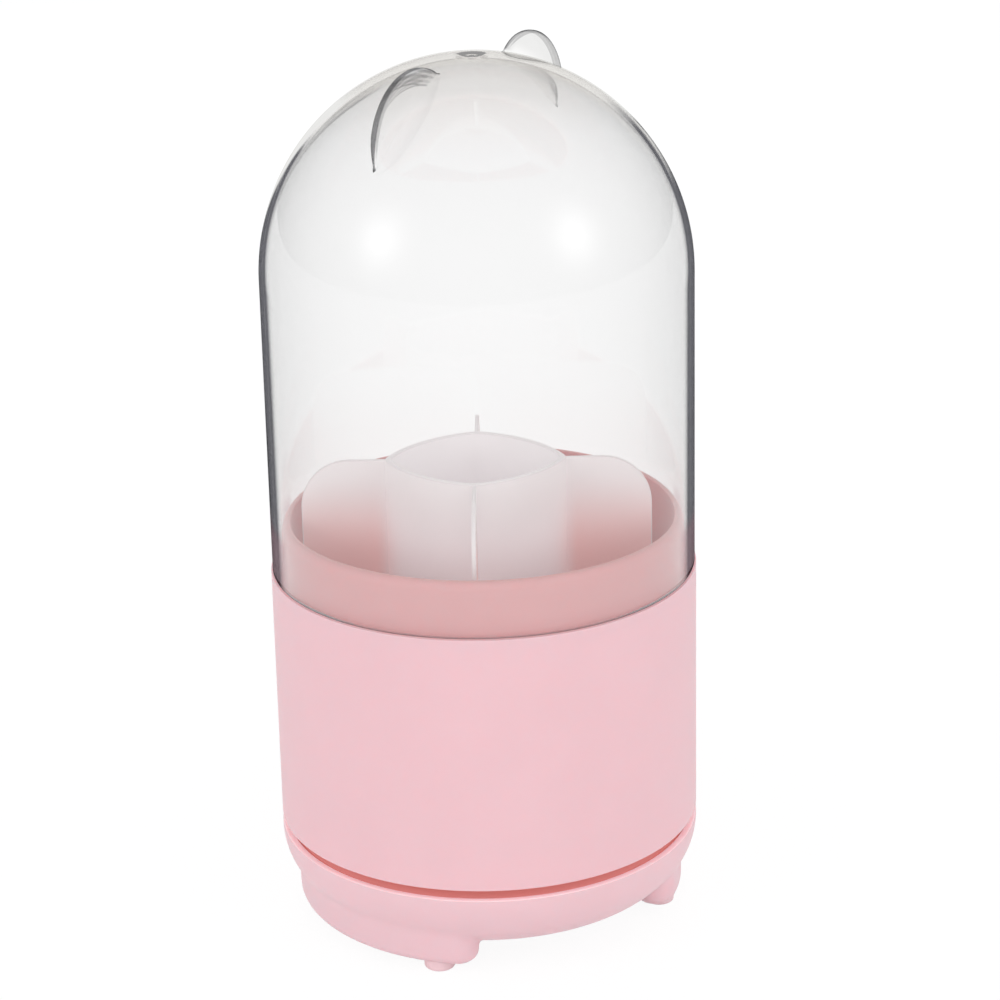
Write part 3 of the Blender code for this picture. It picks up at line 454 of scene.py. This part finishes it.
def rounded(corners, closed=True):
    """A profile from (radius, height, fillet) corners, with arcs at the fillets.

    A point is added close to each arc on a long side, so that smooth shading stays on the arc."""
    points = []
    count = len(corners)
    for index, (radius, height, fillet) in enumerate(corners):
        here = Vector((radius, height))
        ends = not closed and index in (0, count - 1)
        if fillet <= 0 or ends:
            points.append((radius, height))
            continue
        before = Vector(corners[index - 1][:2]) - here
        after = Vector(corners[(index + 1) % count][:2]) - here
        long_before, long_after = before.length, after.length
        before.normalize()
        after.normalize()
        half = before.angle(after) / 2
        reach = fillet / math.tan(half)
        centre = here + (before + after).normalized() * (fillet / math.sin(half))
        first = here + before * reach - centre
        last = here + after * reach - centre
        segments = max(3, round(math.degrees(math.pi - 2 * half) / 15))
        support = max(0.25 * fillet, 0.12)
        if long_before > reach * 2 + support * 3:
            points.append(tuple(here + before * (reach + support)))
        for step in range(segments + 1):
            share = step / segments
            blend = first.slerp(last, share) if share not in (0, 1) else (last if share else first)
            points.append(tuple(centre + blend.normalized() * fillet))
        if long_after > reach * 2 + support * 3:
            points.append(tuple(here + after * (reach + support)))
    return points


def ellipse(across, up, centre_r, centre_z, start, end, count):
    """Points of an elliptic arc, from one angle in degrees to another."""
    points = []
    for index in range(count + 1):
        angle = math.radians(start + (end - start) * index / count)
        points.append((centre_r + across * math.cos(angle), centre_z + up * math.sin(angle)))
    return points


def new_object(name, work, smooth_angle=SMOOTH_ANGLE):
    """An object from a bmesh, smooth except at edges sharper than an angle in degrees."""
    bmesh.ops.recalc_face_normals(work, faces=work.faces)
    mesh = bpy.data.meshes.new(name)
    work.to_mesh(mesh)
    work.free()
    mesh.shade_smooth()
    mesh.set_sharp_from_angle(angle=math.radians(smooth_angle))
    item = bpy.data.objects.new(name, mesh)
    bpy.context.scene.collection.objects.link(item)
    return item


def turned(name, profile, steps=STEPS, closed=True):
    """A body of revolution from a profile in millimetres; points at radius 0 become poles."""
    work = bmesh.new()
    rings = []
    for radius, height in profile:
        if radius < 1e-6:
            rings.append([work.verts.new((0.0, 0.0, height * MM))])
            continue
        ring = []
        for step in range(steps):
            angle = math.tau * step / steps
            ring.append(work.verts.new((radius * MM * math.cos(angle), radius * MM * math.sin(angle), height * MM)))
        rings.append(ring)
    pairs = list(zip(rings, rings[1:]))
    if closed and len(rings[0]) > 1:
        pairs.append((rings[-1], rings[0]))
    for upper, lower in pairs:
        for step in range(steps):
            after = (step + 1) % steps
            corners = [upper[step % len(upper)], upper[after % len(upper)],
                       lower[after % len(lower)], lower[step % len(lower)]]
            corners = list(dict.fromkeys(corners))
            if len(corners) > 2:
                work.faces.new(corners)
    return new_object(name, work)


def repeated(name, profile, steps, headings, distance):
    """The same small body of revolution at several headings round the axis."""
    bodies = []
    for heading in headings:
        body = turned(name, profile, steps, closed=False)
        body.location = heading_point(heading, distance)
        bodies.append(body)
    return bodies


def boolean(item, tools, operation, smooth_angle=SMOOTH_ANGLE):
    """Apply an exact Boolean of each tool to an object, and remove the tools."""
    for tool in tools:
        cut = item.modifiers.new("cut", 'BOOLEAN')
        cut.operation = operation
        cut.solver = 'EXACT'
        cut.object = tool
    bpy.context.view_layer.update()
    graph = bpy.context.evaluated_depsgraph_get()
    mesh = bpy.data.meshes.new_from_object(item.evaluated_get(graph))
    item.modifiers.clear()
    item.data = mesh
    for tool in tools:
        bpy.data.objects.remove(tool)
    mesh.shade_smooth()
    mesh.set_sharp_from_angle(angle=math.radians(smooth_angle))
    return item


def dress(item, body, slot, material, *nodes):
    """Give a piece its material and body, and hide the CAD nodes that it stands for. slot is not used."""
    item.data.materials.clear()
    item.data.materials.append(material)
    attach(item, body)
    if nodes:
        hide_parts(*nodes)


def heading_point(heading, distance):
    """A point on the ground in metres, from a heading in degrees and a distance in millimetres."""
    angle = math.radians(heading)
    return Vector((distance * math.cos(angle), distance * math.sin(angle), 0.0)) * MM


# ---------------------------------------------------------------- pieces

def flare(height, radius):
    """How far a wall leans out at a height over the surface that it grows from."""
    if height >= radius:
        return 0.0
    height = max(height, 0.0)
    # The arc is left a little before it lies flat, so that the two surfaces cross cleanly
    drop = radius - (height * 0.94 + radius * 0.06)
    return radius - math.sqrt(radius ** 2 - drop ** 2)


def make_ear(name, heading, *look):
    """A disc with a rounded rim that grows out of the dome, in rows round the dome's centre."""
    radius, distance, tilt = EAR_R, EAR_OUT, math.radians(EAR_TILT)
    heights = [-0.3, 0.0, 0.1, 0.25, 0.45, 0.7, 1.0, 1.35, 1.8, 2.4, 3.15, 4.1, 5.1, 6.05, 6.8, 7.35, 7.85, 8.25,
               8.52, 8.73, 8.87, 8.96]
    across = Vector((math.cos(math.radians(heading)), math.sin(math.radians(heading)), 0.0))
    normal = AXIS_Z.cross(across)
    columns = 44
    work = bmesh.new()
    grids = []
    for side in (1, -1):
        grid = []
        for height in heights:
            reach = EAR_ROOT + height
            half_angle = math.acos((reach ** 2 + distance ** 2 - radius ** 2) / (2 * reach * distance))
            row = []
            for column in range(columns + 1):
                share = math.sin(math.pi / 2 * (2 * column / columns - 1))
                turn = share * half_angle
                inside = radius - math.sqrt(reach ** 2 + distance ** 2 - 2 * reach * distance * math.cos(turn))
                depth = EAR_ROUND - min(max(inside, 0.0), EAR_ROUND)
                thick = EAR_HALF - EAR_ROUND + math.sqrt(EAR_ROUND ** 2 - depth ** 2) + flare(height, EAR_FLARE)
                # Low down the pane runs out thin at both its ends
                thick *= 1 - 0.85 * (1 - min(max(height, 0.0) / 5.0, 1.0)) * share ** 6
                angle = tilt + turn + share * flare(height, EAR_FLARE) / reach
                place = across * (reach * math.sin(angle)) + AXIS_Z * (DOME_Z + reach * math.cos(angle))
                row.append(work.verts.new((place + normal * (side * thick)) * MM))
            grid.append(row)
        grids.append(grid)
    for grid in grids:
        for lower, upper in zip(grid, grid[1:]):
            for column in range(columns):
                work.faces.new((lower[column], lower[column + 1], upper[column + 1], upper[column]))
    one, other = grids
    for row, mate in ((one[0], other[0]), (one[-1], other[-1])):
        for column in range(columns):
            work.faces.new((row[column], row[column + 1], mate[column + 1], mate[column]))
    for column in (0, columns):
        for index in range(len(heights) - 1):
            work.faces.new((one[index][column], one[index + 1][column],
                            other[index + 1][column], other[index][column]))
    ear = new_object(name, work)
    centre = across * (distance * math.sin(tilt)) + AXIS_Z * (DOME_Z + distance * math.cos(tilt))
    toward = AXIS_Z * math.sin(tilt) - across * math.cos(tilt)
    dress(ear, "lid", "clear_plastic", clear_ear(name + "_plastic", centre * MM, normal, toward, *look))


def make_lid(material):
    """The clear dome with its ears and gate mark."""
    apex = DOME_Z + DOME_RISE
    dome = ellipse(LID_R, DOME_RISE, 0.0, DOME_Z, 86.6, 0.0, 56)
    gate = [(0.0, apex - 0.14), (0.5, apex - 0.16), (0.8, apex - 0.34), (2.1, apex - 0.36), (2.6, apex - 0.3),
            (3.0, apex - 0.15)]
    profile = gate + dome + [(LID_R, LID_Z + 1.2), (LID_R, LID_Z + 0.35), (LID_R - 0.1, LID_Z + 0.1),
                             (LID_R - 0.35, LID_Z), (0.0, LID_Z)]
    lid = turned("lid_clear_shell", profile)
    bore = LID_R - LID_WALL
    core = ellipse(bore, DOME_RISE - LID_WALL, 0.0, DOME_Z, 90.0, 0.0, 56)
    core = [(0.0, core[0][1])] + core[1:]
    core += [(bore, LID_Z + 1.0), (bore, LID_Z + 0.3), (bore + 0.3, LID_Z - 0.001), (bore + 0.3, LID_Z - 3.0),
             (0.0, LID_Z - 3.0)]
    lid = boolean(lid, [turned("lid_core", core)], 'DIFFERENCE')
    dress(lid, "lid", "clear_plastic", material, "dome_lid")
    # The back ear's pane is tinted darker than the front one's, painted shade, and its painted lines are fainter
    make_ear("lid_ear_front", 235.5, rgb(0.98, 0.979, 0.977), rgb(0.995, 0.995, 0.994), 0.8, 1.3)
    make_ear("lid_ear_back", 57.5, rgb(0.905, 0.904, 0.9), rgb(0.975, 0.974, 0.971), 0.4, 0.0)


def make_cup_shell(material):
    """The straight pink wall, with a tiny round at both edges, and the floor with its screw bosses."""
    inside, (below, above), (bore, ledge) = BODY_R - CUP_WALL, CUP_FLOOR, (8.2, 56.4)
    corners = [(BODY_R, SEAM_Z, 0.2), (BODY_R, CUP_Z, 0.2), (inside, CUP_Z, 0.3), (inside, below, 0.0),
               (bore, below, 0.0), (bore, above, 0.0), (inside, above, 1.0), (inside, LEDGE_Z, 0.0),
               (ledge, LEDGE_Z, 0.0), (ledge, SEAM_Z, 0.15)]
    shell = turned("cup_outer_wall", rounded(corners))
    boss = rounded([(0.0, 38.85, 0.0), (3.8, 38.85, 0.3), (3.8, 33.3, 0.0), (0.0, 33.3, 0.0)], closed=False)
    hole = [(0.0, 38.2), (1.7, 38.2), (1.7, 30.0), (0.0, 30.0)]
    shell = boolean(shell, repeated("boss", boss, 32, CUP_SCREW_HEADINGS, CUP_SCREW_OUT), 'UNION')
    shell = boolean(shell, repeated("hole", hole, 24, CUP_SCREW_HEADINGS, CUP_SCREW_OUT), 'DIFFERENCE')
    dress(shell, "cup", "pink_plastic", material, "cup_shell")


def make_bucket(material):
    """The lining, whose collar stands up inside the lid."""
    flange, flange_z, under = 56.1, 97.3, 39.85
    corners = [(0.0, BUCKET_FLOOR, 0.0), (BUCKET_BORE, BUCKET_FLOOR, 2.0), (BUCKET_BORE, COLLAR_Z, 0.45)]
    corners += [(r, z, 0.0) for r, z in ellipse(2.0, 2.6, BUCKET_R - 2.0, COLLAR_Z - 2.6, 90.0, 0.0, 9)]
    corners += [(BUCKET_R, SEAM_Z, 0.2), (flange, SEAM_Z, 0.15), (flange, flange_z, 0.15),
                (BUCKET_R, flange_z, 0.2), (BUCKET_R, under, 4.0), (0.0, under, 0.0)]
    bucket = turned("cup_lining", rounded(corners, closed=False), closed=False)
    dress(bucket, "cup", "pink_plastic", material, "cup_bucket")


def chamber_wall(inset, count=26):
    """The chamber's outline at a distance inside its outer face: four bowed walls."""
    width, depth = CHAMBER
    corners = [Vector((width, 0.0)), Vector((0.0, depth)), Vector((-width, 0.0)), Vector((0.0, -depth))]
    half, bow = (corners[1] - corners[0]).length / 2, CHAMBER_BOW
    radius = (half ** 2 + bow ** 2) / (2 * bow)
    points = []
    for start, end in zip(corners, corners[1:] + corners[:1]):
        middle = (start + end) / 2
        across = (end - start).normalized()
        outward = Vector((across.y, -across.x))
        centre = middle + outward * (bow - radius)
        heading = math.atan2(outward.y, outward.x)
        inner = radius - inset
        reach = math.asin(half / radius)
        turns = [-reach, reach]
        if inset:
            # The inner walls meet on the line from the chamber's centre to its corner, a third deeper
            turns = []
            for outer in (start, end):
                corner = outer * (1 - inset * 1.32 / outer.length) - centre
                turn = math.atan2(corner.y, corner.x) - heading
                turns.append(math.atan2(math.sin(turn), math.cos(turn)))
        first, last = turns
        for step in range(count):
            angle = heading + first + (last - first) * step / count
            points.append((centre.x + inner * math.cos(angle), centre.y + inner * math.sin(angle)))
    # The corners are softened, the inner ones more
    for _ in range(4 if inset else 1):
        soft = list(points)
        for index in range(len(points)):
            if min(index % count, count - index % count) <= 2:
                before, after = points[index - 1], points[(index + 1) % len(points)]
                soft[index] = tuple(0.5 * c + 0.25 * (b + a) for b, c, a in zip(before, points[index], after))
        points = soft
    return points


def make_chamber():
    """The divider's middle chamber, with a softly rounded rim."""
    rounding = 0.45
    levels = [(0.0, DIVIDER_Z), (0.0, RIM_Z - 6.0), (0.0, RIM_Z - 0.9)]
    for step in range(1, 5):
        angle = math.radians(22.5 * step)
        inset = rounding * (1 - math.cos(angle))
        levels.append((inset / CHAMBER_WALL, RIM_Z - rounding + rounding * math.sin(angle)))
    # The way from the outer face to the inner one, as a share of the wall, up one side and down the other
    levels += [(1 - share, height) for share, height in reversed(levels)]
    outer, inner = chamber_wall(0.0), chamber_wall(CHAMBER_WALL)
    work = bmesh.new()
    rings = []
    for share, height in levels:
        points = [(a[0] + (b[0] - a[0]) * share, a[1] + (b[1] - a[1]) * share) for a, b in zip(outer, inner)]
        rings.append([work.verts.new((x * MM, y * MM, height * MM)) for x, y in points])
    size = len(outer)
    for upper, lower in zip(rings, rings[1:] + rings[:1]):
        for index in range(size):
            after = (index + 1) % size
            work.faces.new((upper[index], upper[after], lower[after], lower[index]))
    return new_object("divider_insert", work, 30.0)


def make_fin(heading, start):
    """A thin fin with a round shoulder and a rounded edge."""
    shoulder = FIN_SHOULDER
    outline = [(start, DIVIDER_Z), (FIN_REACH, DIVIDER_Z)]
    outline += ellipse(shoulder, shoulder, FIN_REACH - shoulder, FIN_Z - shoulder, 0.0, 90.0, 24)
    outline += [(start, FIN_Z)]
    work = bmesh.new()
    # The fin is drafted: thinner towards its top
    halves = [0.72 - 0.24 * (z - DIVIDER_Z) / (FIN_Z - DIVIDER_Z) for x, z in outline]
    side = [work.verts.new((x * MM, -half * MM, z * MM)) for (x, z), half in zip(outline, halves)]
    other = [work.verts.new((x * MM, half * MM, z * MM)) for (x, z), half in zip(outline, halves)]
    faces = [work.faces.new(side), work.faces.new(other)]
    rim = []
    for index in range(len(outline)):
        after = (index + 1) % len(outline)
        work.faces.new((side[index], side[after], other[after], other[index]))
    for face in faces:
        rim += [edge for edge in face.edges if max(v.co.x for v in edge.verts) > (start + 0.5) * MM]
    bmesh.ops.bevel(work, geom=list(set(rim)), offset=0.32 * MM, segments=3, profile=0.5,
                    affect='EDGES', clamp_overlap=False)
    fin = new_object("fin", work, 30.0)
    fin.rotation_euler.z = math.radians(heading)
    return fin


def make_divider(material):
    """The loose insert: the chamber with a fin at each corner."""
    fins = [make_fin(90 * index, CHAMBER[index % 2] - 1.0) for index in range(4)]
    chamber = boolean(make_chamber(), fins, 'UNION', 30.0)
    chamber.location.x = DIVIDER_X * MM
    chamber.rotation_euler.z = math.radians(DIVIDER_TURN)
    dress(chamber, "divider", "frosted_white_plastic", material, "brush_divider")


def skid_outline(heading):
    """An arc-shaped band with round ends, seen from above."""
    middle, half_width = SKID_R, SKID_HALF_WIDTH
    first, last = heading - SKID_HALF_SPAN, heading + SKID_HALF_SPAN
    points = ellipse(middle + half_width, middle + half_width, 0.0, 0.0, first, last, 47)
    for angle, side in ((last, 0), (first, 180)):
        centre = heading_point(angle, middle) / MM
        turn = ellipse(half_width, half_width, centre.x, centre.y, angle + side, angle + side + 180, 20)
        points += turn[1:-1]
        if side == 0:
            points += ellipse(middle - half_width, middle - half_width, 0.0, 0.0, last, first, 47)
    return points


def bowl_bottom(radius):
    """Height of the bowl's underside at a radius."""
    share = min(max(radius - (BODY_R - BOWL_ROUND), 0.0) / BOWL_ROUND, 0.999)
    return BOWL_CORNER_Z - (BOWL_CORNER_Z - BOWL_Z) * math.sqrt(1 - share ** 2)


def make_skid(heading):
    """A skid with a rounded lower edge, and a soft hollow where it meets the bowl."""
    outline = [Vector(point) for point in skid_outline(heading)]
    count = len(outline)
    columns = []
    for index, point in enumerate(outline):
        along = (outline[(index + 1) % count] - outline[index - 1]).normalized()
        outward = Vector((along.y, -along.x))
        column = []
        for step in range(7):
            angle = math.radians(15 * step)
            at = point - outward * (SKID_ROUND * (1 - math.sin(angle)))
            column.append((at.x, at.y, SKID_Z + SKID_ROUND * (1 - math.cos(angle))))
        wall_top = bowl_bottom(point.length)
        soft = min(2.2, max((wall_top - SKID_Z - SKID_ROUND) * 0.9, 0.2))
        end = point + outward * soft * 0.75
        start, corner, finish = wall_top - soft, wall_top, bowl_bottom(end.length) + 0.03
        for step in range(8):
            share = step / 7
            at = point + (end - point) * share ** 2
            height = (1 - share) ** 2 * start + 2 * share * (1 - share) * corner + share ** 2 * finish
            column.append((at.x, at.y, height))
        column.append((end.x, end.y, 17.0))
        columns.append(column)
    work = bmesh.new()
    rings = [[work.verts.new(Vector(place) * MM) for place in level] for level in zip(*columns)]
    for lower, upper in zip(rings, rings[1:]):
        for index in range(count):
            after = (index + 1) % count
            work.faces.new((lower[index], lower[after], upper[after], upper[index]))
    work.faces.new(rings[0])
    work.faces.new(rings[-1])
    return new_object("skid", work)


def make_bowl(material):
    """The rounded lower casing with its two skids, screw bosses and pad seats."""
    middle, deep = BODY_R - BOWL_ROUND, BOWL_CORNER_Z - BOWL_Z
    profile = [(0.0, LIP_Z), (BODY_R - 1.2, LIP_Z)]
    profile += ellipse(0.4, 0.45, BODY_R - 0.4, LIP_Z - 0.45, 90.0, 0.0, 6)
    profile += ellipse(BOWL_ROUND, deep, middle, BOWL_CORNER_Z, -2.0, -90.0, 30) + [(0.0, BOWL_Z)]
    bowl = turned("base_casing", profile)
    bowl = boolean(bowl, [make_skid(210), make_skid(30)], 'UNION')
    bore, inside = BODY_R - BOWL_WALL, BOWL_ROUND - BOWL_WALL
    hollow = [(0.0, LIP_Z + 2.0), (bore + 0.4, LIP_Z + 2.0), (bore + 0.4, LIP_Z + 0.001), (bore, LIP_Z - 0.4)]
    hollow += ellipse(inside, deep - BOWL_WALL, middle, BOWL_CORNER_Z, 0.0, -90.0, 24) + [(0.0, BOWL_Z + BOWL_WALL)]
    seat = [(0.0, 3.5), (4.45, 3.5), (4.45, 0.0), (0.0, 0.0)]
    cutters = [turned("hollow", hollow)] + repeated("seat", seat, 48, PAD_HEADINGS, SKID_R)
    bowl = boolean(bowl, cutters, 'DIFFERENCE')
    boss = [(0.0, 11.4), (4.2, 11.4), (4.2, 7.5), (0.0, 7.5)]
    hole = [(0.0, 13.0), (1.7, 13.0), (1.7, 8.4), (3.1, 8.4), (3.1, 5.0), (0.0, 5.0)]
    bowl = boolean(bowl, repeated("boss", boss, 32, DECK_SCREW_HEADINGS, DECK_SCREW_OUT), 'UNION')
    bowl = boolean(bowl, repeated("hole", hole, 40, DECK_SCREW_HEADINGS, DECK_SCREW_OUT), 'DIFFERENCE', 32.0)
    dress(bowl, "base", "pink_plastic", material, "base_bowl")


def make_pads(material):
    """The round pads under the skids."""
    for index, heading in enumerate(PAD_HEADINGS, 1):
        profile = rounded([(0.0, 3.2, 0.0), (4.15, 3.2, 0.2), (4.15, 0.0, 0.8), (0.0, 0.0, 0.0)], closed=False)
        pad = turned(f"foot_pad_round_{index}", profile, 64)
        pad.location = heading_point(heading, SKID_R)
        dress(pad, "base", "pad_rubber", material, f"foot_pad_{index}")


def dress_frame(nodes, looks):
    """Materials for the CAD nodes that stay in view as they are."""
    for name, node in nodes.items():
        for start, material in looks.items():
            if name.startswith(start):
                node.data.materials.clear()
                node.data.materials.append(material)


def main():
    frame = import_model()
    bpy.context.scene.view_settings.view_transform = 'Standard'
    make_camera()
    make_world()
    make_floor()
    for lamp in LAMPS:
        make_lamp(*lamp)
    glow = {"Subsurface_Weight": 0.35, "Subsurface_Radius": (1.0, 0.32, 0.3), "Subsurface_Scale": 0.003}
    pink = moulded("pink_plastic", rgb(0.89, 0.575, 0.62), 0.46, Specular_IOR_Level=0.25, **glow)
    # Painted light: the casing's lip top, in the groove's shade, is lighter and glows a little
    casing = moulded("pink_casing", rgb(0.87, 0.6, 0.645), 0.46, Specular_IOR_Level=0.25,
                     painted_shading=(24.6, 24.75, rgb(0.98, 0.76, 0.78)), lit=(24.62, 24.78, rgb(0.24, 0.13, 0.15)), **glow)
    # Painted shade: the lining is a darker, deeper pink than the cup, and darker still at its collar's rim top
    lining = moulded("pink_lining", rgb(0.74, 0.422, 0.432), 0.42, Specular_IOR_Level=0.25,
                     painted_shading=(113.0, 113.4, rgb(0.69, 0.4, 0.4)), **glow)
    soft_pink = moulded("pink_pad", rgb(0.9, 0.65, 0.685), 0.65, grain=0.6, scale=1800.0)
    # Painted light: the deck is a deeper pink than the casing and glows a little, for the light that the pink
    # plastic lets into the groove
    deck = moulded("pink_deck", rgb(0.8, 0.42, 0.42), 0.46,
                   Emission_Color=rgb(0.24, 0.07, 0.057), Emission_Strength=1.0)
    # Painted light and shade: the divider glows a little, most low down near the axis, and turns a darker pink
    # lower down, most on the fins
    white = moulded("frosted_white", rgb(0.885, 0.868, 0.876), 0.48, through=0.1,
                    painted_shading=(125.0, 98.0, rgb(0.93, 0.56, 0.54), 21.0, 28.0, 0.15),
                    lit=(124.0, 109.0, rgb(0.12, 0.122, 0.127), rgb(0.095, 0.0855, 0.0855), 21.0, 28.0),
                    brim=(34.0, 114.95, 12.85, 13.2, rgb(0.79, 0.755, 0.765)))
    natural = moulded("natural_plastic", rgb(0.78, 0.78, 0.76), 0.4)
    metal = steel("plated_steel")
    clear = clear_plastic("clear_plastic")
    make_bowl(casing)
    make_pads(soft_pink)
    make_cup_shell(pink)
    make_bucket(lining)
    make_divider(white)
    make_lid(clear)
    dress_frame(frame["nodes"], {
        "base_deck": deck, "base_bowl": pink, "foot_pad": soft_pink, "cup_shell": pink, "cup_bucket": lining,
        "brush_divider": white, "dome_lid": clear, "ball_cage": natural, "turntable_plate": natural,
        "axle": metal, "retaining": metal, "bearing_ball": metal, "deck_screw": metal, "cup_screw": metal})


main()
